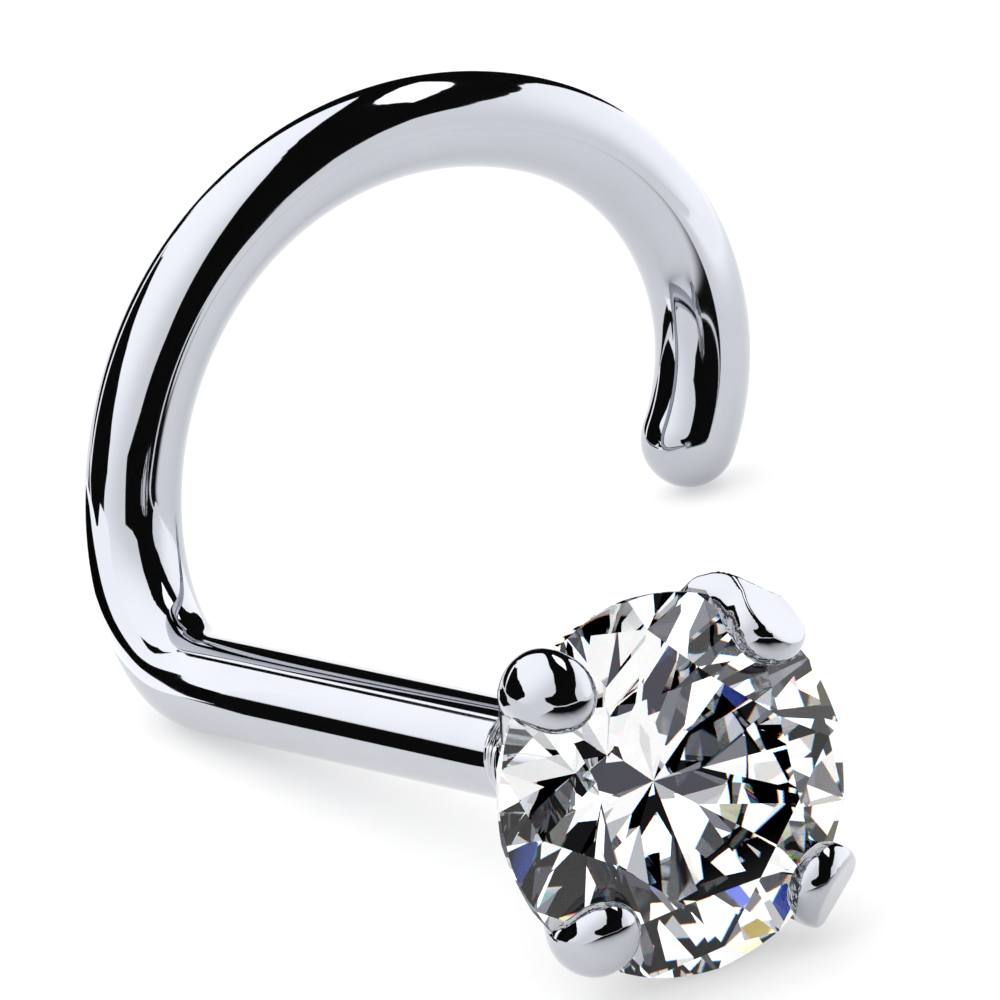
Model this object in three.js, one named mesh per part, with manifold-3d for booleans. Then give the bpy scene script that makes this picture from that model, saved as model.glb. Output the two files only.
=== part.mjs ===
// Nose stud: a round wire with a straight post and an open curl, and a four-claw
// head that holds one round brilliant-cut stone. Millimetres, +Z up.
// It is drawn with the stone facing up and the middle of its girdle at zero,
// and then laid down as it falls by itself.

import * as THREE from "three";
import { ConvexGeometry } from "three/addons/geometries/ConvexGeometry.js";
import { ConvexHull } from "three/addons/math/ConvexHull.js";
import { mergeVertices } from "three/addons/utils/BufferGeometryUtils.js";
import Module from "manifold-3d";

// Wire: the post runs down from the head, bends level and goes on as the curl
const WIRE_DIAMETER = 0.81;
const POST_LENGTH = 7.35;
const END_BEVEL = 0.015;
const BEND_RADIUS = 1.3;
const CURL_HEADING = 103.3;
const CURL_FIRST_RADIUS = 3.08;
const CURL_MIDDLE_RADIUS = 3.01;
const CURL_LAST_RADIUS = 2.0;
const CURL_ARCS = [
  { radius: CURL_FIRST_RADIUS, turn: 43.4 },
  { radius: CURL_MIDDLE_RADIUS, turn: 61.4 },
  { radius: CURL_LAST_RADIUS, turn: 97.4 },
];

// Stone: a round brilliant, with the reach of its half facets as shares of crown and pavilion
const STONE_DIAMETER = 3.0;
const TABLE_DIAMETER = 1.78;
const CROWN_ANGLE = 34;
const PAVILION_ANGLE = 40.8;
const GIRDLE_THICKNESS = 0.09;
const STAR_REACH = 0.5;
const LOWER_HALF_REACH = 0.77;
const STONE_TURN = 5;

// Head: a collet soldered on the post, and claws that flare out and fold over the girdle
const CULET_GAP = 0.36;
const COLLET_HEIGHT = 0.5;
const COLLET_FLARE = 0.245;
const SOLDER_HEIGHT = 0.2;
const SOLDER_FLARE = 0.05;
const CLAW_COUNT = 4;
const CLAW_TURN = 68;
const CLAW_WIDTH = 0.6;
const CLAW_THICKNESS = 0.42;
const CLAW_FOOT_INSET = 0.35;
const CLAW_BEND_DROP = 0.14;
const CLAW_BEND_RISE = 0.15;
const CLAW_REACH = 0.19;
const NOTCH_DEPTH = 0.2;
const TIP_SETBACK = 0.07;
const TIP_HEIGHT = 0.3;
const TIP_LENGTH = 0.72;
const TIP_WIDTH = 0.69;
const TIP_THICKNESS = 0.55;
const SEAT_CLEARANCE = 0.03;

// Grams in a cubic centimetre, for the way the stud falls
const STEEL_DENSITY = 7.9;
const STONE_DENSITY = 5.8;

// Fineness of the faceted surfaces
const WIRE_SIDES = 16;
const WIRE_STEP = 0.18;
const CLAW_SIDES = 14;
const CLAW_STEPS = 12;
const DOME_SIDES = 16;
const MAIN_FACETS = 8;
const GIRDLE_SIDES = 32;

const { degToRad } = THREE.MathUtils;
const { sin, cos, tan, PI } = Math;
const wireRadius = WIRE_DIAMETER / 2;
const stoneRadius = STONE_DIAMETER / 2;
const culetDepth = GIRDLE_THICKNESS / 2 + tan(degToRad(PAVILION_ANGLE)) * stoneRadius;
const colletTop = -culetDepth - CULET_GAP;
const colletFoot = colletTop - COLLET_HEIGHT;
const colletMiddle = (colletTop + colletFoot) / 2;
const colletRadius = wireRadius + COLLET_FLARE;
const UP = new THREE.Vector3(0, 0, 1);

const wasm = await Module();
wasm.setup();

// A closed geometry as a solid, with only its shared positions kept.
function toSolid(geometry) {
  const bare = geometry.clone();
  for (const name of Object.keys(bare.attributes)) {
    if (name !== "position") bare.deleteAttribute(name);
  }
  const merged = mergeVertices(bare, 1e-4);
  return new wasm.Manifold(
    new wasm.Mesh({
      numProp: 3,
      vertProperties: merged.getAttribute("position").array,
      triVerts: new Uint32Array(merged.index.array),
    }),
  );
}

function toGeometry(solid) {
  const mesh = solid.getMesh();
  const geometry = new THREE.BufferGeometry();
  geometry.setAttribute("position", new THREE.BufferAttribute(mesh.vertProperties, mesh.numProp));
  geometry.setIndex(new THREE.BufferAttribute(mesh.triVerts, 1));
  return geometry;
}

// A circular arc in space: the start point turns about an axis through the centre.
class Arc extends THREE.Curve {
  constructor(start, centre, axis, angle) {
    super();
    this.spoke = start.clone().sub(centre);
    this.centre = centre.clone();
    this.axis = axis.clone();
    this.angle = angle;
  }

  getPoint(t, target = new THREE.Vector3()) {
    return target.copy(this.spoke).applyAxisAngle(this.axis, t * this.angle).add(this.centre);
  }
}

// An oval section with flats that face along its two axes.
function ovalSection(width, thickness, sides) {
  const corners = [];
  for (let i = 0; i < sides; i += 1) {
    const angle = (2 * PI * (i + 0.5)) / sides;
    corners.push(new THREE.Vector2((width / 2) * cos(angle), (thickness / 2) * sin(angle)));
  }
  return new THREE.Shape(corners);
}

// Centre line of the wire, with the bend heading along +Y.
// The bend leaves the post's line level, then each arc of the curl turns clockwise seen from above.
function wireLine() {
  const path = new THREE.CurvePath();
  const top = new THREE.Vector3(0, 0, colletMiddle);
  const elbow = new THREE.Vector3(0, 0, colletFoot - POST_LENGTH + BEND_RADIUS);
  path.add(new THREE.LineCurve3(top, elbow));
  const bendCentre = elbow.clone().add(new THREE.Vector3(0, BEND_RADIUS, 0));
  path.add(new Arc(elbow, bendCentre, new THREE.Vector3(1, 0, 0), PI / 2));
  let heading = PI / 2;
  for (const { radius, turn } of CURL_ARCS) {
    const start = path.curves.at(-1).getPoint(1);
    const inward = new THREE.Vector3(sin(heading), -cos(heading), 0);
    const centre = start.clone().addScaledVector(inward, radius);
    path.add(new Arc(start, centre, UP, -degToRad(turn)));
    heading -= degToRad(turn);
  }
  return { path, heading };
}

// Post, bend and curl in one length of wire. The dome on its free end stands inside the flats.
function wireSolid() {
  const { path, heading } = wireLine();
  const tube = new THREE.ExtrudeGeometry(ovalSection(WIRE_DIAMETER, WIRE_DIAMETER, WIRE_SIDES), {
    steps: Math.round(path.getLength() / WIRE_STEP),
    extrudePath: path,
  });
  const dome = new THREE.SphereGeometry(wireRadius - END_BEVEL, WIRE_SIDES, WIRE_SIDES / 2);
  const forward = new THREE.Vector3(cos(heading), sin(heading), 0);
  const across = UP.clone().cross(forward);
  dome.rotateY(PI / WIRE_SIDES);
  dome.applyMatrix4(new THREE.Matrix4().makeBasis(UP, forward, across));
  dome.translate(...path.curves.at(-1).getPoint(1).addScaledVector(forward, END_BEVEL));
  const turn = degToRad(CURL_HEADING - 90);
  return toSolid(tube.rotateZ(turn)).add(toSolid(dome.rotateZ(turn)));
}

// Round brilliant cut: kite facets run from the table and from the culet to the girdle,
// and each pair of half facets between them meets the girdle in a shallow scallop.
function brilliant(radius, girdle, clearance = 0) {
  const tableRadius = TABLE_DIAMETER / 2;
  const crownRise = tan(degToRad(CROWN_ANGLE)) * (radius - tableRadius);
  const pavilionDepth = tan(degToRad(PAVILION_ANGLE)) * radius;
  const edge = girdle / 2 + clearance;
  const points = [new THREE.Vector3(0, 0, -edge - pavilionDepth)];
  const pitch = (2 * PI) / MAIN_FACETS;
  const put = (r, angle, z) => {
    const turned = angle + degToRad(STONE_TURN);
    points.push(new THREE.Vector3(r * cos(turned), r * sin(turned), z));
  };
  const starRadius = (tableRadius + STAR_REACH * (radius - tableRadius)) / cos(pitch / 2);
  const lowerRadius = ((1 - LOWER_HALF_REACH) * radius) / cos(pitch / 2);
  const starRun = (starRadius * cos(pitch / 2) - tableRadius) / (radius - tableRadius);
  const lowerRun = (lowerRadius * cos(pitch / 2)) / radius;
  for (let i = 0; i < MAIN_FACETS; i += 1) {
    put(tableRadius, i * pitch, edge + crownRise);
    put(starRadius, (i + 0.5) * pitch, edge + crownRise * (1 - starRun));
    put(lowerRadius, (i + 0.5) * pitch, -edge - pavilionDepth * (1 - lowerRun));
  }
  // Height above the girdle edge of a half facet, met at the round girdle between its two corners
  const dip = (innerRadius, rise, angle) => {
    const chordMiddle = radius * cos(pitch / 4);
    const slope = rise / (chordMiddle - innerRadius * cos(pitch / 4));
    return slope * (radius * cos(angle) - chordMiddle);
  };
  for (let i = 0; i < GIRDLE_SIDES; i += 1) {
    const angle = (2 * PI * i) / GIRDLE_SIDES;
    const half = (angle % (pitch / 2)) - pitch / 4;
    put(radius, angle, edge - dip(starRadius, crownRise * (1 - starRun), half));
    put(radius, angle, -edge + dip(lowerRadius, pavilionDepth * (1 - lowerRun), half));
  }
  return new ConvexGeometry(points);
}

// A claw in the plane of +X and +Z: a flaring bar with a domed tip laid along the crown.
// Its back is filed flat, along the flare below the girdle and upright above it.
function clawSolid() {
  const shoulder = stoneRadius - NOTCH_DEPTH + CLAW_THICKNESS / 2;
  const foot = new THREE.Vector3(colletRadius - CLAW_FOOT_INSET, 0, colletMiddle);
  const flare = (shoulder - foot.x) / (CLAW_BEND_DROP - colletMiddle);
  const below = new THREE.Vector3(shoulder - flare * CLAW_BEND_DROP, 0, -CLAW_BEND_DROP);
  const knee = new THREE.Vector3(shoulder + flare * CLAW_BEND_RISE, 0, CLAW_BEND_RISE);
  const tip = new THREE.Vector3(stoneRadius - TIP_SETBACK, 0, TIP_HEIGHT);
  const path = new THREE.CurvePath();
  path.add(new THREE.LineCurve3(foot, below));
  path.add(new THREE.QuadraticBezierCurve3(below, knee, tip));
  const bar = new THREE.ExtrudeGeometry(ovalSection(CLAW_WIDTH, CLAW_THICKNESS, CLAW_SIDES), {
    steps: CLAW_STEPS,
    extrudePath: path,
  });
  const dome = new THREE.SphereGeometry(0.5, DOME_SIDES, DOME_SIDES / 2 + 1);
  dome.scale(TIP_LENGTH, TIP_WIDTH, TIP_THICKNESS);
  dome.rotateY(degToRad(CROWN_ANGLE));
  dome.translate(...tip);
  const lean = Math.atan(flare);
  const back = stoneRadius + CLAW_REACH;
  return toSolid(bar)
    .add(toSolid(dome))
    .trimByPlane([-cos(lean), 0, sin(lean)], -back * cos(lean))
    .trimByPlane([-1, 0, 0], -back);
}

// The collet closes over the top of the post, with a solder fillet under it.
function colletSolid() {
  const profile = [
    new THREE.Vector2(0, colletFoot - SOLDER_HEIGHT),
    new THREE.Vector2(wireRadius, colletFoot - SOLDER_HEIGHT),
    new THREE.Vector2(wireRadius + SOLDER_FLARE, colletFoot),
    new THREE.Vector2(colletRadius, colletTop),
    new THREE.Vector2(0, colletTop),
  ];
  return toSolid(new THREE.LatheGeometry(profile, WIRE_SIDES).rotateX(PI / 2));
}

// The metal is one soldered piece; the claws are notched to fit the stone.
function metalSolid() {
  let metal = wireSolid().add(colletSolid());
  const claw = clawSolid();
  for (let i = 0; i < CLAW_COUNT; i += 1) {
    metal = metal.add(claw.rotate([0, 0, CLAW_TURN + (360 * i) / CLAW_COUNT]));
  }
  const seat = brilliant(stoneRadius + SEAT_CLEARANCE, GIRDLE_THICKNESS, SEAT_CLEARANCE);
  return metal.subtract(toSolid(seat));
}

const steel = new THREE.MeshStandardMaterial({ color: 0xcdd0d3, roughness: 0.08, metalness: 1 });
const crystal = new THREE.MeshStandardMaterial({ color: 0xf3f7fc, roughness: 0.02, metalness: 0 });

const screw = new THREE.Mesh(toGeometry(metalSolid()), steel);
screw.name = "nose_screw";
const stone = new THREE.Mesh(brilliant(stoneRadius, GIRDLE_THICKNESS), crystal);
stone.name = "stone";
const stud = new THREE.Group();
stud.add(screw, stone);

// Three corners of each triangle of a mesh.
function* triangles(mesh) {
  const { index } = mesh.geometry;
  const position = mesh.geometry.getAttribute("position");
  const corner = (i) => new THREE.Vector3().fromBufferAttribute(position, index ? index.getX(i) : i);
  const count = index ? index.count : position.count;
  for (let i = 0; i < count; i += 3) yield [corner(i), corner(i + 1), corner(i + 2)];
}

// Centre of mass of meshes with their densities, from the pyramids under their triangles.
function massCentre(weights) {
  const moment = new THREE.Vector3();
  let mass = 0;
  for (const [mesh, density] of weights) {
    for (const [a, b, c] of triangles(mesh)) {
      const share = (density * a.dot(b.clone().cross(c))) / 6;
      moment.addScaledVector(a.clone().add(b).add(c), share / 4);
      mass += share;
    }
  }
  return moment.divideScalar(mass);
}

// Where the stud comes to rest: on the face of its hull that is nearest to the centre of mass.
function restingNormal() {
  const weights = [[screw, STEEL_DENSITY], [stone, STONE_DENSITY]];
  const centre = massCentre(weights);
  const points = weights.flatMap(([mesh]) => [...triangles(mesh)].flat());
  const { faces } = new ConvexHull().setFromPoints(points);
  const sides = faces.filter((face) => face.area > 0);
  const depth = (side) => -side.distanceToPoint(centre);
  return sides.reduce((nearest, side) => (depth(side) < depth(nearest) ? side : nearest)).normal;
}

// Laid down, the stud turns until its stone faces the front.
stud.quaternion.setFromUnitVectors(restingNormal(), UP.clone().negate());
const facing = UP.clone().applyQuaternion(stud.quaternion);
stud.rotateOnWorldAxis(UP, -PI / 2 - Math.atan2(facing.y, facing.x));

// The origin is under the middle of the stud, on the surface that it lies on.
const nose_stud = new THREE.Group();
nose_stud.add(stud);
const box = new THREE.Box3().setFromObject(nose_stud, true);
const middle = box.getCenter(new THREE.Vector3());
nose_stud.position.set(-middle.x, -middle.y, -box.min.z);

export default nose_stud;
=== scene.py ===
# Nose stud: a polished steel nose screw with a four-claw head and one round brilliant.
# The shapes are drawn in millimetres with the stone facing up and the middle of its
# girdle at zero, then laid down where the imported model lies.
import math

import bmesh
import bpy
from mathutils import Matrix, Quaternion, Vector


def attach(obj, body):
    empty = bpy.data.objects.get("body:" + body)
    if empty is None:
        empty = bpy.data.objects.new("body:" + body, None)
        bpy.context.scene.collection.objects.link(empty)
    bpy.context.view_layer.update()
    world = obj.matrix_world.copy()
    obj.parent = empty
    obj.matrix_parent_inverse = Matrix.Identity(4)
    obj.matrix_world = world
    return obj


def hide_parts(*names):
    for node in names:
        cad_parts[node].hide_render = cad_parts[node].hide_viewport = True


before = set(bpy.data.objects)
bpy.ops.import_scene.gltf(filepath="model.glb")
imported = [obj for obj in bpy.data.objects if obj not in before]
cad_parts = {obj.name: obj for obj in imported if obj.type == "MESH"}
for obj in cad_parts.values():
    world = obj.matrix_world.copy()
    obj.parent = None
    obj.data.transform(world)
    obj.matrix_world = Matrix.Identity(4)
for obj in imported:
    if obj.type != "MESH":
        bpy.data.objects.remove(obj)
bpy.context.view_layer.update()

MM = 0.001

# Where the drawing lies: the stone's axis tips down to the front, and the stud rolls about it
GIRDLE_CENTRE = Vector((-2.3408, -4.79867, 1.49274))
STONE_TIP = math.radians(82.4969)
STONE_ROLL = math.radians(-28.6292)

# Wire
WIRE_RADIUS = 0.402
POST_TOP = -1.95
ELBOW = -8.24977
BEND_RADIUS = 1.3
CURL_HEADING = math.radians(103.3)
# Radius of each arc in millimetres and its turn in degrees
CURL_ARCS = [(3.08, 43.4), (3.01, 61.4), (2.0, 97.4)]
# Length over which the wire goes from one curve into the next
EASE_LENGTH = 0.5
WIRE_STEP = 0.04
WIRE_SIDES = 64
DOME_STEPS = 16

# Stone
STONE_RADIUS = 1.5
TABLE_RADIUS = 0.89
CROWN_ANGLE = math.radians(34)
PAVILION_ANGLE = math.radians(40.8)
GIRDLE = 0.09
# Reach of the stars over the crown, and of the lower halves over the pavilion, as shares
STAR_REACH = 0.5
LOWER_HALF_REACH = 0.77
STONE_TURN = math.radians(5)
SEAT_GAP = 0.03
MAIN_FACETS = 8
GIRDLE_SIDES = 96
FLAT_ANGLE = math.radians(0.6)

# Collet, and the solder that runs out of it onto the post
COLLET_TOP = -1.7
COLLET_FOOT = -2.2
COLLET_RADIUS = 0.65
COLLET_SIDES = 64
SOLDER_RADIUS = 0.42
SOLDER_FLARE = 0.05
SOLDER_HEIGHT = 0.2
SOLDER_STEPS = 6

# Claws: the inner face stands CLAW_BITE in from the girdle, and the foot inside the collet
CLAW_WIDTH = 0.6
CLAW_THICKNESS = 0.42
CLAW_SIDES = 40
CLAW_BITE = 0.2
FOOT_INSET = 0.35
# The fold starts this far under the middle of the girdle, and turns about a knee over it
FOLD_REACH = 0.14
KNEE_HEIGHT = 0.15
ARM_STEPS = 20
FOLD_STEPS = 24
BEAD_STEPS = 20
# The bead at the tip, and the length over which a claw swells into it
TIP_SETBACK = 0.07
TIP_HEIGHT = 0.3
TIP_LENGTH = 0.72
TIP_WIDTH = 0.68
TIP_THICKNESS = 0.54
SWELL_LENGTH = 0.62
# A filed back stands this far out from the girdle, and is bevelled from this height up
FILED_REACH = 0.18
BEVEL_START = 0.16
BEVEL_SLOPE = math.radians(38)
# A twist fades out over these heights
TWIST_UNDER_TIP = 0.4
TWIST_OVER_COLLET = 1.2

# Blending of the head: size of its grain, and the angle from which an edge stays sharp
HEAD_GRAIN = 0.022
SHARP_ANGLE = math.radians(40)

# Set one by one, so no two claws are alike: the upper right one leans, the lower left one is
# slight, and two are filed flat
CLAWS = [
    {"turn": math.radians(74), "twist": math.radians(10), "filed": True},
    {"turn": math.radians(158), "size": 0.93},
    {"turn": math.radians(248), "size": 0.86, "inset": 0.06},
    {"turn": math.radians(338), "filed": True},
]

# Stone's finish: each colour of the light and the index it is bent by, white all together
FIRE = [
    ((0.77, 0.1, 0.09, 1), 2.148),
    ((0.14, 0.75, 0.15, 1), 2.16),
    ((0.09, 0.15, 0.76, 1), 2.174),
]
STONE_INDEX = 2.16
SHEEN_SHARE = 0.45

# Steel's roughness: even, in clouds and as a fine haze
STEEL_ROUGHNESS = 0.02
CLOUD_ROUGHNESS = 0.02
HAZE_ROUGHNESS = 0.015

laid = (
    Matrix.Scale(MM, 4)
    @ Matrix.Translation(GIRDLE_CENTRE)
    @ Matrix.Rotation(STONE_TIP, 4, "X")
    @ Matrix.Rotation(STONE_ROLL, 4, "Z")
)


# Shaders
class Value:
    """A socket in a node tree that takes part in sums written in Python."""

    def __init__(self, tree, socket):
        self.tree = tree
        self.socket = socket

    def maths(self, operation, other):
        return self.tree.node("ShaderNodeMath", {"operation": operation}, (self, other))

    def __add__(self, other):
        return self.maths("ADD", other)

    __radd__ = __add__

    def __mul__(self, other):
        return self.maths("MULTIPLY", other)

    __rmul__ = __mul__


class Tree:
    """The nodes of one material or of the world."""

    def __init__(self, owner):
        owner.use_nodes = True
        self.tree = owner.node_tree
        self.tree.nodes.clear()

    def node(self, kind, settings=None, inputs=(), output=0):
        """A new node: its settings are set first, then its sockets get values or links."""
        made = self.tree.nodes.new(kind)
        for name, setting in (settings or {}).items():
            if name == "stops":
                self.set_stops(made.color_ramp, setting)
            elif name == "interpolation":
                made.color_ramp.interpolation = setting
            else:
                setattr(made, name, setting)
        pairs = inputs.items() if isinstance(inputs, dict) else enumerate(inputs)
        for name, value in pairs:
            if isinstance(value, Value):
                self.tree.links.new(value.socket, made.inputs[name])
            else:
                made.inputs[name].default_value = value
        return Value(self, made.outputs[output]) if made.outputs else made

    @staticmethod
    def set_stops(ramp, stops):
        while len(ramp.elements) < len(stops):
            ramp.elements.new(1.0)
        for element, (position, colour) in zip(ramp.elements, stops):
            element.position = position
            element.color = colour


def polished_steel():
    material = bpy.data.materials.new("polished_steel_wire")
    tree = Tree(material)
    place = tree.node("ShaderNodeTexCoord", output="Object")
    cloud = tree.node(
        "ShaderNodeTexNoise", inputs={"Vector": place, "Scale": 900.0, "Detail": 3.0}
    )
    haze = tree.node(
        "ShaderNodeTexNoise", inputs={"Vector": place, "Scale": 9000.0, "Detail": 4.0}
    )
    tint = tree.node(
        "ShaderNodeValToRGB",
        {"stops": [(0.3, (0.467, 0.482, 0.525, 1)), (0.7, (0.491, 0.506, 0.55, 1))]},
        {"Fac": cloud},
    )
    roughness = STEEL_ROUGHNESS + cloud * CLOUD_ROUGHNESS + haze * HAZE_ROUGHNESS
    wave = tree.node(
        "ShaderNodeBump",
        inputs={"Strength": 0.02, "Distance": 0.02 * MM, "Height": cloud},
    )
    shader = tree.node(
        "ShaderNodeBsdfPrincipled",
        inputs={"Base Color": tint, "Metallic": 1.0, "Roughness": roughness, "Normal": wave},
    )
    tree.node("ShaderNodeOutputMaterial", inputs={"Surface": shader})
    return material


def clear_stone():
    material = bpy.data.materials.new("clear_cut_stone")
    tree = Tree(material)
    place = tree.node("ShaderNodeTexCoord", output="Object")
    dust = tree.node(
        "ShaderNodeTexNoise", inputs={"Vector": place, "Scale": 5000.0, "Detail": 4.0}
    )
    roughness = tree.node(
        "ShaderNodeMapRange",
        inputs={"Value": dust, "From Min": 0.62, "From Max": 0.8, "To Min": 0.0, "To Max": 0.03},
    )
    # Light splits into the fire's colours where it first goes in
    bent = [
        tree.node(
            "ShaderNodeBsdfRefraction",
            inputs={"Color": colour, "Roughness": roughness, "IOR": index},
        )
        for colour, index in FIRE
    ]
    warm = tree.node("ShaderNodeAddShader", inputs=bent[:2])
    split = tree.node("ShaderNodeAddShader", inputs=(warm, bent[2]))
    sheen = tree.node("ShaderNodeFresnel", inputs={"IOR": STONE_INDEX}) * SHEEN_SHARE
    polish = tree.node("ShaderNodeBsdfAnisotropic", inputs={"Roughness": roughness})
    entry = tree.node("ShaderNodeMixShader", inputs=(sheen, split, polish))
    white_glass = tree.node(
        "ShaderNodeBsdfGlass", inputs={"Roughness": roughness, "IOR": STONE_INDEX}
    )
    inside = tree.node("ShaderNodeLightPath", output="Transmission Depth").maths(
        "GREATER_THAN", 0.5
    )
    mixed = tree.node("ShaderNodeMixShader", inputs=(inside, entry, white_glass))
    tree.node("ShaderNodeOutputMaterial", inputs={"Surface": mixed})
    return material


def white_floor():
    material = bpy.data.materials.new("matt_white_board")
    tree = Tree(material)
    place = tree.node("ShaderNodeTexCoord", output="Object")
    grain = tree.node(
        "ShaderNodeTexNoise", inputs={"Vector": place, "Scale": 1500.0, "Detail": 5.0}
    )
    tint = tree.node(
        "ShaderNodeValToRGB",
        {"stops": [(0.3, (0.49, 0.49, 0.49, 1)), (0.7, (0.51, 0.51, 0.51, 1))]},
        {"Fac": grain},
    )
    shader = tree.node(
        "ShaderNodeBsdfPrincipled",
        inputs={
            "Base Color": tint,
            "Roughness": 0.9,
            "Specular IOR Level": 0.1,
            "Emission Color": (1, 1, 1, 1),
            "Emission Strength": FLOOR_GLOW,
        },
    )
    tree.node("ShaderNodeOutputMaterial", inputs={"Surface": shader})
    return material


def board_finish(name, brightness, fade):
    """Black paper or an even glow, let in gradually along a direction if there is a fade."""
    material = bpy.data.materials.new(name)
    tree = Tree(material)
    if brightness > BLACK:
        shader = tree.node(
            "ShaderNodeEmission", inputs={"Color": (1, 1, 1, 1), "Strength": brightness}
        )
    else:
        shader = tree.node(
            "ShaderNodeBsdfDiffuse", inputs={"Color": (0.004, 0.004, 0.004, 1)}
        )
    if fade:
        way, start, end = fade
        place = tree.node("ShaderNodeTexCoord", output="Object")
        run = tree.node(
            "ShaderNodeVectorMath", {"operation": "DOT_PRODUCT"}, (place, way), output="Value"
        )
        share = tree.node(
            "ShaderNodeMapRange",
            {"interpolation_type": "SMOOTHSTEP"},
            {"Value": run, "From Min": start, "From Max": end},
        )
        nothing = tree.node("ShaderNodeBsdfTransparent")
        shader = tree.node("ShaderNodeMixShader", inputs=(share, nothing, shader))
    tree.node("ShaderNodeOutputMaterial", inputs={"Surface": shader})
    return material


# Mesh code
def piece_from(name, mesh_data, material, smooth=True):
    """An object in the scene from the mesh that was built, which is let go."""
    mesh = bpy.data.meshes.new(name)
    mesh_data.normal_update()
    mesh_data.to_mesh(mesh)
    mesh_data.free()
    mesh.materials.append(material)
    for polygon in mesh.polygons:
        polygon.use_smooth = smooth
    piece = bpy.data.objects.new(name, mesh)
    bpy.context.scene.collection.objects.link(piece)
    return piece


def skin(mesh_data, rings, first=None, last=None):
    """Joins rings of points with quads, and closes each end on a point or on its own ring."""
    rows = [[mesh_data.verts.new(point) for point in ring] for ring in rings]
    count = len(rows[0])
    for before, after in zip(rows, rows[1:]):
        for i in range(count):
            j = (i + 1) % count
            mesh_data.faces.new((before[i], before[j], after[j], after[i]))
    for row, point, turned in ((rows[0], first, True), (rows[-1], last, False)):
        if point is None:
            mesh_data.faces.new(reversed(row) if turned else row)
            continue
        pole = mesh_data.verts.new(point)
        for i in range(count):
            j = (i + 1) % count
            mesh_data.faces.new((row[j], row[i], pole) if turned else (row[i], row[j], pole))


def circle(centre, across, up, half_width, half_height, sides):
    """Points round a circle or an oval, from its middle and its two half axes."""
    return [
        centre
        + across * (half_width * math.cos(2 * math.pi * i / sides))
        + up * (half_height * math.sin(2 * math.pi * i / sides))
        for i in range(sides)
    ]


def eased(spans, length, reach):
    """Curvature at a length along the wire, with each change spread over a short run."""
    start = 0.0
    total = 0.0
    for run, curvature in spans:
        low = max(start, length - reach / 2)
        high = min(start + run, length + reach / 2)
        total += max(0.0, high - low) * curvature
        start += run
    return total / reach


def wire_line():
    """Points along the middle of the wire, each with the two directions across it."""
    bend = BEND_RADIUS * math.pi / 2
    post = POST_TOP - ELBOW
    curl = [(radius * math.radians(turn), 1 / radius) for radius, turn in CURL_ARCS]
    rise = [(post, 0.0), (bend, 1 / BEND_RADIUS), (sum(run for run, _ in curl), 0.0)]
    turn = [(post + bend, 0.0), *curl]
    # The last run goes on past the free end so that its curvature is not eased away
    turn.append((EASE_LENGTH, curl[-1][1]))
    length = sum(run for run, _ in rise)
    heading = Vector((math.cos(CURL_HEADING), math.sin(CURL_HEADING), 0))
    along = Vector((0, 0, -1))
    over = heading.copy()
    inward = heading.cross(Vector((0, 0, 1)))
    point = Vector((0, 0, POST_TOP))
    line = [(point.copy(), over.copy(), inward.copy())]
    count = round(length / WIRE_STEP)
    step = length / count
    for i in range(count):
        middle = (i + 0.5) * step
        lift = eased(rise, middle, EASE_LENGTH) * step
        swing = eased(turn, middle, EASE_LENGTH) * step
        before = along.copy()
        spin = Quaternion(along.cross(over), lift) @ Quaternion(along.cross(inward), swing)
        along = (spin @ along).normalized()
        over = (spin @ over).normalized()
        inward = (spin @ inward).normalized()
        point = point + (before + along) * (step / 2)
        line.append((point.copy(), over.copy(), inward.copy()))
    return line, along


def make_wire(material):
    line, forward = wire_line()
    rings = [circle(p, a, b, WIRE_RADIUS, WIRE_RADIUS, WIRE_SIDES) for p, a, b in line]
    end, over, inward = line[-1]
    for i in range(1, DOME_STEPS):
        angle = math.pi / 2 * i / DOME_STEPS
        radius = WIRE_RADIUS * math.cos(angle)
        middle = end + forward * (WIRE_RADIUS * math.sin(angle))
        rings.append(circle(middle, over, inward, radius, radius, WIRE_SIDES))
    mesh_data = bmesh.new()
    skin(mesh_data, rings, last=end + forward * WIRE_RADIUS)
    bmesh.ops.recalc_face_normals(mesh_data, faces=mesh_data.faces)
    mesh_data.transform(laid)
    return piece_from("bent_wire", mesh_data, material)


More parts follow.
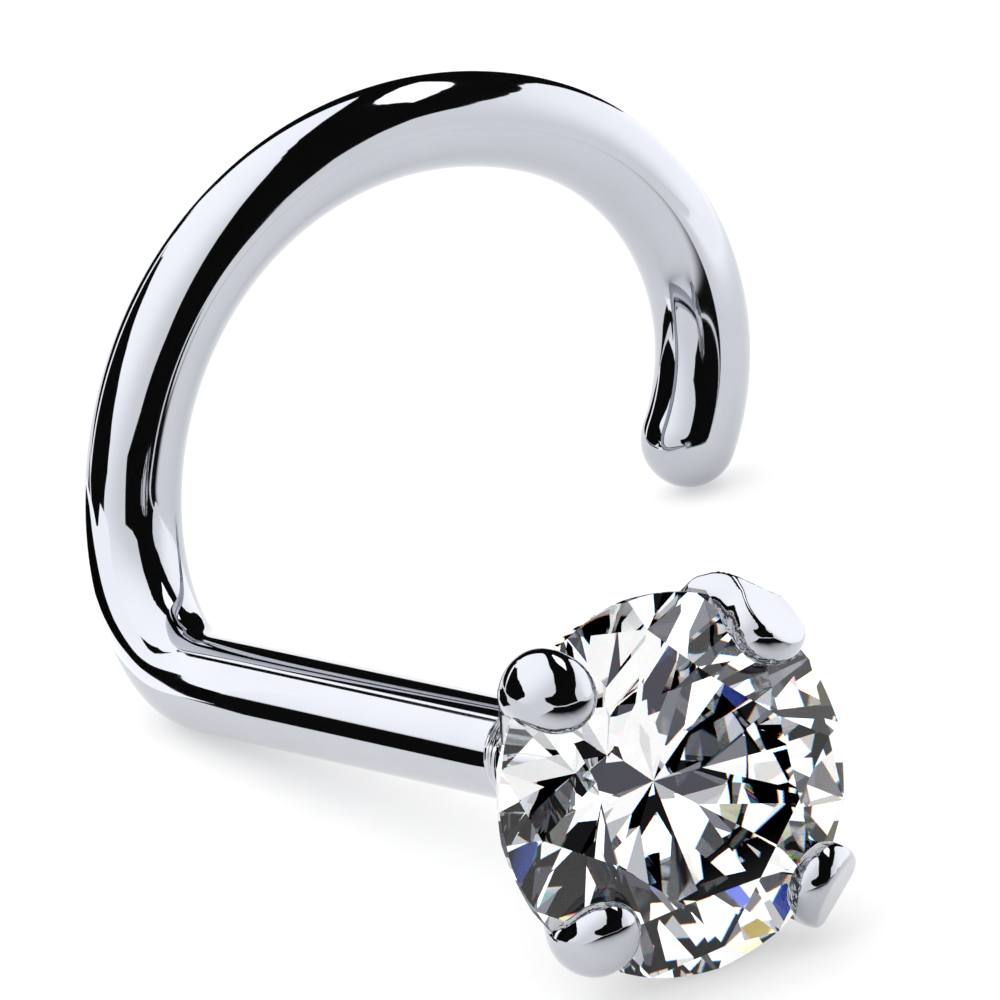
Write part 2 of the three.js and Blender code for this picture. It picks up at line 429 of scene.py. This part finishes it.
def brilliant(radius, clearance=0.0):
    """Corners of the cut stone, hulled: table, stars, kites and half facets above, mains below."""
    mesh_data = bmesh.new()
    crown_rise = math.tan(CROWN_ANGLE) * (radius - TABLE_RADIUS)
    depth = math.tan(PAVILION_ANGLE) * radius
    edge = GIRDLE / 2 + clearance
    pitch = 2 * math.pi / MAIN_FACETS

    def put(r, angle, z):
        turned = angle + STONE_TURN
        mesh_data.verts.new((r * math.cos(turned), r * math.sin(turned), z))

    mesh_data.verts.new((0, 0, -edge - depth))
    spread = math.cos(pitch / 2)
    star_radius = (TABLE_RADIUS + STAR_REACH * (radius - TABLE_RADIUS)) / spread
    lower_radius = (1 - LOWER_HALF_REACH) * radius / spread
    star_run = (star_radius * spread - TABLE_RADIUS) / (radius - TABLE_RADIUS)
    lower_run = lower_radius * spread / radius
    for i in range(MAIN_FACETS):
        put(TABLE_RADIUS, i * pitch, edge + crown_rise)
        put(star_radius, (i + 0.5) * pitch, edge + crown_rise * (1 - star_run))
        put(lower_radius, (i + 0.5) * pitch, -edge - depth * (1 - lower_run))

    def dip(inner_radius, rise, angle):
        """How far a half facet meets the round girdle above its middle, at an angle from it."""
        chord_middle = radius * math.cos(pitch / 4)
        slope = rise / (chord_middle - inner_radius * math.cos(pitch / 4))
        return slope * (radius * math.cos(angle) - chord_middle)

    for i in range(GIRDLE_SIDES):
        angle = 2 * math.pi * i / GIRDLE_SIDES
        half = angle % (pitch / 2) - pitch / 4
        put(radius, angle, edge - dip(star_radius, crown_rise * (1 - star_run), half))
        put(radius, angle, -edge + dip(lower_radius, depth * (1 - lower_run), half))
    hull = bmesh.ops.convex_hull(mesh_data, input=mesh_data.verts)
    bmesh.ops.delete(mesh_data, geom=hull["geom_interior"], context="VERTS")
    bmesh.ops.dissolve_limit(
        mesh_data,
        angle_limit=FLAT_ANGLE,
        verts=mesh_data.verts,
        edges=mesh_data.edges,
    )
    return mesh_data


def make_stone(material):
    mesh_data = brilliant(STONE_RADIUS)
    mesh_data.transform(laid)
    return piece_from("round_brilliant", mesh_data, material, smooth=False)


def claw_line(inset):
    """Middle of a claw from foot to tip, and its flare: how far out it goes for its rise."""
    shoulder = STONE_RADIUS - CLAW_BITE + CLAW_THICKNESS / 2 - inset
    foot = Vector((COLLET_RADIUS - FOOT_INSET, 0, POST_TOP))
    flare = (shoulder - foot.x) / (FOLD_REACH - POST_TOP)
    below = Vector((shoulder - flare * FOLD_REACH, 0, -FOLD_REACH))
    knee = Vector((shoulder + flare * KNEE_HEIGHT, 0, KNEE_HEIGHT))
    tip = Vector((STONE_RADIUS - TIP_SETBACK - inset, 0, TIP_HEIGHT))
    slope = Vector((-math.cos(CROWN_ANGLE), 0, math.sin(CROWN_ANGLE)))
    half = TIP_LENGTH / 2
    line = [foot.lerp(below, i / ARM_STEPS) for i in range(ARM_STEPS)]
    for i in range(FOLD_STEPS):
        t = i / FOLD_STEPS
        line.append(below * (1 - t) ** 2 + knee * (2 * t * (1 - t)) + tip * t**2)
    for i in range(BEAD_STEPS):
        line.append(tip + slope * (half * math.sin(math.pi / 2 * i / BEAD_STEPS)))
    line.append(tip + slope * half)
    return line, flare


def claw_rings(line, size):
    """Ovals across a claw, which swell towards the tip and close in on the bead's end."""
    lengths = [0.0]
    for a, b in zip(line, line[1:]):
        lengths.append(lengths[-1] + (b - a).length)
    tip_start = lengths[ARM_STEPS + FOLD_STEPS]
    half = TIP_LENGTH / 2
    across = Vector((0, 1, 0))
    rings = []
    for i, point in enumerate(line[:-1]):
        before = line[max(i - 1, 0)]
        after = line[min(i + 1, len(line) - 1)]
        outward = across.cross((after - before).normalized())
        s = lengths[i] - tip_start
        if s < 0:
            share = max(0.0, 1 + s / SWELL_LENGTH)
            share = share * share * (3 - 2 * share)
            width = CLAW_WIDTH + (TIP_WIDTH - CLAW_WIDTH) * share
            thickness = CLAW_THICKNESS + (TIP_THICKNESS - CLAW_THICKNESS) * share
        else:
            fade = math.sqrt(max(0.0, 1 - (s / half) ** 2))
            width = TIP_WIDTH * fade
            thickness = TIP_THICKNESS * fade
        rings.append(
            circle(point, across, outward, size * width / 2, size * thickness / 2, CLAW_SIDES)
        )
    return rings


def claw(mesh_data, turn, twist=0.0, filed=False, size=1.0, inset=0.0):
    """A bar that flares out from the collet, folds over the girdle and ends in a bead."""
    line, flare = claw_line(inset)
    part = bmesh.new()
    skin(part, claw_rings(line, size), last=line[-1])
    bmesh.ops.recalc_face_normals(part, faces=part.faces)
    if filed:
        back = Vector((STONE_RADIUS + FILED_REACH, 0, 0))
        edge = back + Vector((0, 0, BEVEL_START))
        file_flat(part, back, Vector((1, 0, -flare)).normalized())
        file_flat(part, back, Vector((1, 0, 0)))
        file_flat(part, edge, Vector((math.cos(BEVEL_SLOPE), 0, math.sin(BEVEL_SLOPE))))
    for vert in part.verts:
        under_tip = min(1.0, max(0.0, (TIP_HEIGHT - vert.co.z) / TWIST_UNDER_TIP))
        over_collet = min(1.0, max(0.0, (vert.co.z - COLLET_TOP) / TWIST_OVER_COLLET))
        vert.co.rotate(Quaternion((0, 0, 1), twist * under_tip * over_collet))
    part.transform(Matrix.Rotation(turn, 4, "Z"))
    add(mesh_data, part)


def file_flat(part, point, outward):
    """Takes off what stands out past a flat, and closes the cut."""
    geom = [*part.verts, *part.edges, *part.faces]
    cut = bmesh.ops.bisect_plane(
        part, geom=geom, dist=1e-6, plane_co=point, plane_no=outward, clear_outer=True
    )
    edges = [edge for edge in cut["geom_cut"] if isinstance(edge, bmesh.types.BMEdge)]
    bmesh.ops.triangle_fill(part, edges=edges, use_beauty=True)
    bmesh.ops.recalc_face_normals(part, faces=part.faces)


def add(mesh_data, part):
    """Copies a part into the mesh that is being built, and lets the part go."""
    held = bpy.data.meshes.new("held")
    part.to_mesh(held)
    part.free()
    mesh_data.from_mesh(held)
    bpy.data.meshes.remove(held)


def collet(mesh_data):
    """Turned cup on the post's top, with the solder's fillet under it."""
    profile = [(0.412, COLLET_FOOT - 0.22)]
    for i in range(SOLDER_STEPS + 1):
        t = i / SOLDER_STEPS
        height = COLLET_FOOT - SOLDER_HEIGHT + SOLDER_HEIGHT * t
        profile.append((SOLDER_RADIUS + SOLDER_FLARE * t * t, height))
    profile += [(0.53, COLLET_FOOT + 0.14), (0.6, COLLET_FOOT + 0.3), (0.64, COLLET_TOP - 0.06)]
    profile += [(0.63, COLLET_TOP - 0.015), (0.6, COLLET_TOP), (0.3, COLLET_TOP)]
    rings = [
        circle(Vector((0, 0, z)), Vector((1, 0, 0)), Vector((0, 1, 0)), r, r, COLLET_SIDES)
        for r, z in profile
    ]
    part = bmesh.new()
    skin(part, rings)
    add(mesh_data, part)


def with_modifiers(piece, modifiers):
    """The piece's mesh once its modifiers have run, in place of the mesh it had."""
    for kind, settings in modifiers:
        modifier = piece.modifiers.new(kind.lower(), kind)
        for name, setting in settings.items():
            setattr(modifier, name, setting)
    graph = bpy.context.evaluated_depsgraph_get()
    made = bpy.data.meshes.new_from_object(piece.evaluated_get(graph))
    piece.modifiers.clear()
    piece.data = made
    return piece


def make_head(material):
    """Collet and claws blended into one casting, then notched to fit the stone."""
    mesh_data = bmesh.new()
    collet(mesh_data)
    for settings in CLAWS:
        claw(mesh_data, **settings)
    bmesh.ops.recalc_face_normals(mesh_data, faces=mesh_data.faces)
    head = piece_from("claw_head", mesh_data, material)
    with_modifiers(
        head,
        [
            ("REMESH", {"mode": "VOXEL", "voxel_size": HEAD_GRAIN, "use_smooth_shade": True}),
            ("SMOOTH", {"factor": 0.5, "iterations": 12}),
        ],
    )
    seat = piece_from("seat", brilliant(STONE_RADIUS + SEAT_GAP, SEAT_GAP), material, smooth=False)
    with_modifiers(
        head, [("BOOLEAN", {"operation": "DIFFERENCE", "object": seat, "solver": "EXACT"})]
    )
    bpy.data.objects.remove(seat)
    head.data.transform(laid)
    head.data.set_sharp_from_angle(angle=SHARP_ANGLE)
    return head


# The stud
steel = polished_steel()
wire = make_wire(steel)
head = make_head(steel)
stone = make_stone(clear_stone())
for piece in (wire, head):
    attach(piece, "root")
    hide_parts("nose_screw")
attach(stone, "root")
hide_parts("stone")


# Studio, in metres except where a comment says otherwise
FLOOR_RADIUS = 0.6
FLOOR_DROP = 0.00002
# A little light comes up through the floor, as on a light table
FLOOR_GLOW = 0.42
# Brightness of the boards that are painted black, and of the softboxes
BLACK = 0
SOFTBOX_GLOW = 1.75
# Boards stand round a point this high, and their outlines and longest edges are in degrees
BOARD_MIDDLE = 1.5 * MM
BOARD_EDGE = 5
BOARD_ROUNDS = 6
# Cards lie this high over the floor, in millimetres
CARD_HEIGHT = 0.03
TENT_RADIUS = 0.5
TENT_DRAW = 10.0
TENT_SCALE = 3.0
# Which way the post runs from the head to the bend
POST_WAY = (laid.to_3x3() @ Vector((0, 0, -1))).normalized()

# A low board stands just behind the bend and shows only in reflections, where it paints the bend's
# reflection: glowing white at its foot, a black line along it, glowing white at the top. A row is
# a place in plan, then the heights of the foot, the line's two edges and the top, all in
# millimetres.
BEND_REFLECTION_BOARD = [
    (-3.78, 4.51, 0.04, 0.04, 0.7, 1.9),
    (-3.68, 4.81, 0.04, 0.14, 0.72, 1.9),
    (-3.636, 4.932, 0.04, 0.26, 0.75, 1.9),
    (-3.585, 5.074, 0.04, 0.42, 0.84, 1.9),
    (-3.527, 5.215, 0.04, 0.58, 1.0, 1.9),
    (-3.431, 5.33, 0.04, 0.6, 1.0, 1.65),
    (-3.334, 5.444, 0.04, 0.56, 1.09, 1.6),
    (-3.227, 5.545, 0.04, 0.53, 1.27, 1.65),
    (-2.97, 5.695, 0.04, 0.52, 1.5, 1.7),
    (-2.835, 5.757, 0.04, 0.52, 1.58, 1.7),
    (-2.553, 5.859, 0.04, 0.56, 1.62, 1.7),
    (-2.366, 5.926, 0.04, 0.56, 1.62, 1.7),
]
FOOT, LINE_LOW, LINE_HIGH, TOP = range(2, 6)


def painted_band(low, high):
    """Faces of one band of the low board that paints the bend's reflection, between two of the
    heights in its rows.
    """
    return [
        [(*a[:2], a[low]), (*b[:2], b[low]), (*b[:2], b[high]), (*a[:2], a[high])]
        for a, b in zip(BEND_REFLECTION_BOARD, BEND_REFLECTION_BOARD[1:])
    ]


def make_floor():
    mesh_data = bmesh.new()
    bmesh.ops.create_circle(mesh_data, cap_ends=True, radius=FLOOR_RADIUS, segments=96)
    floor = piece_from("white_board", mesh_data, white_floor(), smooth=False)
    floor.location.z = -FLOOR_DROP


def toward(azimuth, elevation):
    """Direction of a place seen from the stud: 0 degrees is the front, and 90 the right."""
    a = math.radians(azimuth)
    e = math.radians(elevation)
    return Vector((math.sin(a) * math.cos(e), -math.cos(a) * math.cos(e), math.sin(e)))


def make_board(name, outline, brightness, distance=0.25, slits=(), fade=None):
    """A curved board round the stud that only polished metal sees, outlined in degrees."""
    mesh_data = bmesh.new()
    mesh_data.faces.new([mesh_data.verts.new((x, y, 0)) for x, y in outline])
    bmesh.ops.triangulate(mesh_data, faces=mesh_data.faces)
    for _ in range(BOARD_ROUNDS):
        long_edges = [edge for edge in mesh_data.edges if edge.calc_length() > BOARD_EDGE]
        if long_edges:
            bmesh.ops.subdivide_edges(mesh_data, edges=long_edges, cuts=1)
            bmesh.ops.triangulate(mesh_data, faces=mesh_data.faces)
    for vert in mesh_data.verts:
        vert.co = toward(vert.co.x, vert.co.y)
    for slit in slits:
        open_slit(mesh_data, *slit)
    for vert in mesh_data.verts:
        vert.co = vert.co * distance + Vector((0, 0, BOARD_MIDDLE))
    stage_board(name, mesh_data, board_finish(name, brightness, fade))


def lying(outline):
    """The one face of a card that lies just over the floor, from its outline in plan."""
    return [[(x, y, CARD_HEIGHT) for x, y in outline]]


def make_card(name, faces, brightness, fade=None):
    """A small card near the stud, from the corners of its faces in millimetres."""
    mesh_data = bmesh.new()
    for face in faces:
        mesh_data.faces.new([mesh_data.verts.new(Vector(corner) * MM) for corner in face])
    stage_board(name, mesh_data, board_finish(name, brightness, fade))


def stage_board(name, mesh_data, finish, seen_in="metal"):
    """Stages a board that shows in polished metal, or else through the stone, and nowhere else."""
    board = piece_from(name, mesh_data, finish, smooth=False)
    board.visible_camera = False
    board.visible_shadow = False
    board.visible_diffuse = False
    board.visible_glossy = seen_in == "metal"
    board.visible_transmission = seen_in == "stone"


def make_tent():
    """A patched tent of white, grey and black cloth that gives the stone its play of light."""
    material = bpy.data.materials.new("patched_tent")
    tree = Tree(material)
    place = tree.node("ShaderNodeTexCoord", output="Object")
    patches = tree.node(
        "ShaderNodeTexNoise",
        {"noise_dimensions": "4D"},
        {"Vector": place, "W": TENT_DRAW, "Scale": TENT_SCALE, "Detail": 0.0},
    )
    stops = [
        (0.0, (0.01, 0.01, 0.012, 1)),
        (0.49, (0.1, 0.1, 0.122, 1)),
        (0.53, (0.26, 0.27, 0.305, 1)),
        (0.56, (0.6, 0.62, 0.66, 1)),
        (0.59, (1.45, 1.5, 1.55, 1)),
    ]
    colour = tree.node(
        "ShaderNodeValToRGB", {"stops": stops, "interpolation": "CONSTANT"}, {"Fac": patches}
    )
    shader = tree.node("ShaderNodeEmission", inputs={"Color": colour, "Strength": 1.0})
    tree.node("ShaderNodeOutputMaterial", inputs={"Surface": shader})
    mesh_data = bmesh.new()
    bmesh.ops.create_icosphere(mesh_data, subdivisions=4, radius=TENT_RADIUS)
    stage_board("patched_tent", mesh_data, material, seen_in="stone")


def open_slit(mesh_data, axis, inner, outer, start, end):
    """Takes a bent slit out of a board: between two cones about an axis, over a range of turn."""
    side = Vector((1, 0, 0))
    side = (side - axis * side.dot(axis)).normalized()
    rise = side.cross(axis)
    planes = [(axis * math.cos(math.radians(angle)), axis) for angle in (inner, outer)]
    for turn in (start, end):
        spoke = side * math.cos(math.radians(turn)) + rise * math.sin(math.radians(turn))
        planes.append((Vector(), axis.cross(spoke)))
    for point, normal in planes:
        geom = [*mesh_data.verts, *mesh_data.edges, *mesh_data.faces]
        bmesh.ops.bisect_plane(mesh_data, geom=geom, dist=1e-7, plane_co=point, plane_no=normal)

    def in_slit(face):
        middle = face.calc_center_median().normalized()
        angle = math.degrees(middle.angle(axis))
        turn = math.degrees(math.atan2(middle.dot(rise), middle.dot(side))) % 360
        return inner < angle < outer and start < turn < end

    gone = [face for face in mesh_data.faces if in_slit(face)]
    bmesh.ops.delete(mesh_data, geom=gone, context="FACES")


def make_key_softbox():
    """A broad soft lamp from behind on the left, which shows in no reflection."""
    data = bpy.data.lights.new("key_softbox", "AREA")
    data.shape = "DISK"
    data.size = 0.3
    data.energy = 0.25
    lamp = bpy.data.objects.new("key_softbox", data)
    bpy.context.scene.collection.objects.link(lamp)
    back = toward(-135, 50)
    lamp.location = back * 0.45
    lamp.rotation_mode = "QUATERNION"
    lamp.rotation_quaternion = back.to_track_quat("Z", "Y")
    lamp.visible_camera = False
    lamp.visible_glossy = False


def make_world():
    """A white room that is brightest high at the back on the left and falls off to the front."""
    world = bpy.data.worlds.new("soft_white_room")
    tree = Tree(world)
    way = tree.node("ShaderNodeTexCoord", output="Generated")
    nearness = tree.node(
        "ShaderNodeVectorMath",
        {"operation": "DOT_PRODUCT"},
        (way, toward(-150, 50)),
        output="Value",
    )
    strength = tree.node(
        "ShaderNodeMapRange",
        {"interpolation_type": "SMOOTHSTEP"},
        {"Value": nearness, "From Min": 0.1, "From Max": 1.0, "To Min": 1.2, "To Max": 1.8},
    )
    shade = tree.node(
        "ShaderNodeBackground", inputs={"Color": (1, 1, 1, 1), "Strength": strength}
    )
    tree.node("ShaderNodeOutputWorld", inputs={"Surface": shade})
    bpy.context.scene.world = world


def make_camera():
    """Placed so that the stud's outline falls where it does in the photograph."""
    data = bpy.data.cameras.new("camera")
    data.sensor_width = 36.0
    data.lens = 613.75
    data.clip_start = 0.005
    data.clip_end = 10.0
    camera = bpy.data.objects.new("camera", data)
    bpy.context.scene.collection.objects.link(camera)
    back = toward(-25.353, 19.489)
    aim = Vector((-0.8057, 0.4187, 2.1618)) * MM
    camera.location = aim + back * (136.572 * MM)
    camera.rotation_mode = "QUATERNION"
    roll = Quaternion((0, 0, 1), math.radians(-11.715))
    camera.rotation_quaternion = back.to_track_quat("Z", "Y") @ roll
    bpy.context.scene.camera = camera


make_floor()
make_world()
make_camera()
make_board(
    "front_flag",
    [(-47, 20), (-30, 23), (-19, 30), (-15, 45), (-11, 60), (-6, 68), (5, 78), (30, 85), (100, 86)]
    + [(135, 80), (143, 68), (148, 50), (151, 38), (162, 33), (174, 23), (165, 18), (162, 10)]
    + [(158, -3), (138, -3), (129, 5), (125, 13), (125, 20), (122, 27), (115, 33), (105, 38)]
    + [(90, 40), (75, 41), (60, 38.5), (48, 35), (38, 29), (30, 26), (25, 21), (21, 14), (20, 5)]
    + [(22, -3), (-20, -3), (-34, 3), (-46, 12)],
    BLACK,
)
make_board(
    "back_flag",
    [(174, 23), (183, 20), (192, 25), (197, 31), (212, 35), (235, 35), (250, 31), (262, 23)]
    + [(264, 17), (255, 8), (243, 0), (236, -3), (158, -3), (162, 10), (165, 18)],
    BLACK,
    slits=[(POST_WAY, 24.5, 30.0, 82, 89), (POST_WAY, 24.5, 30.0, 97, 178)],
)
make_board(
    "overhead_strip",
    [(60, 55), (70, 60), (80, 64), (95, 66), (110, 65), (120, 62), (130, 55), (137, 45)]
    + [(138, 38), (130, 42), (120, 45), (105, 50), (90, 54), (75, 55)],
    2.2,
    distance=0.2,
)
make_board(
    "side_softbox",
    [(15, -1), (15, 30), (30, 45), (75, 46), (120, 42), (140, 20), (145, -1)],
    SOFTBOX_GLOW,
    distance=0.3,
    fade=(Vector((1, 0, 0)), 0.13, 0.28),
)
# Painted reflection: a black card on the floor in front shows only in reflections, where the floor
# grows darker towards the front.
make_card(
    "front_painted_dark",
    lying(
        [(-7, -4), (6, -4), (6.5, -11), (7.5, -16), (12, -26.5), (22, -56), (-40, -60)]
        + [(-20, -30)]
    ),
    BLACK,
    fade=(Vector((0, -1, 0)), 0.005, 0.013),
)
# Painted reflection: a black card on the floor behind the bend shows only in reflections, where it
# puts a dark band on the post.
make_card(
    "back_painted_dark",
    lying(
        [(-4.3, 1), (-3.55, 3.6), (-4.2, 11), (-6.5, 17), (-9, 26), (-14, 50), (-30, 45)]
        + [(-20, 20), (-11, 6), (-9, 1.5)]
    ),
    BLACK,
)
# Painted light: a glowing card on the floor to the right shows only in reflections, where the
# floor looks brightly lit on that side; it fades in going outward.
make_card(
    "side_painted_glow",
    lying([(8, -14), (290, -280), (290, 200), (8, 30)]),
    1.7,
    fade=(Vector((1, 0, 0)), 0.009, 0.022),
)
# Painted reflection: the low board shows only in reflections, and gives the bend its glowing and
# black bands.
make_card("bend_reflection_foot", painted_band(FOOT, LINE_LOW), SOFTBOX_GLOW)
make_card("bend_reflection_line", painted_band(LINE_LOW, LINE_HIGH), BLACK)
make_card("bend_reflection_top", painted_band(LINE_HIGH, TOP), SOFTBOX_GLOW)
make_tent()
make_key_softbox()
bpy.context.scene.view_settings.view_transform = "Standard"
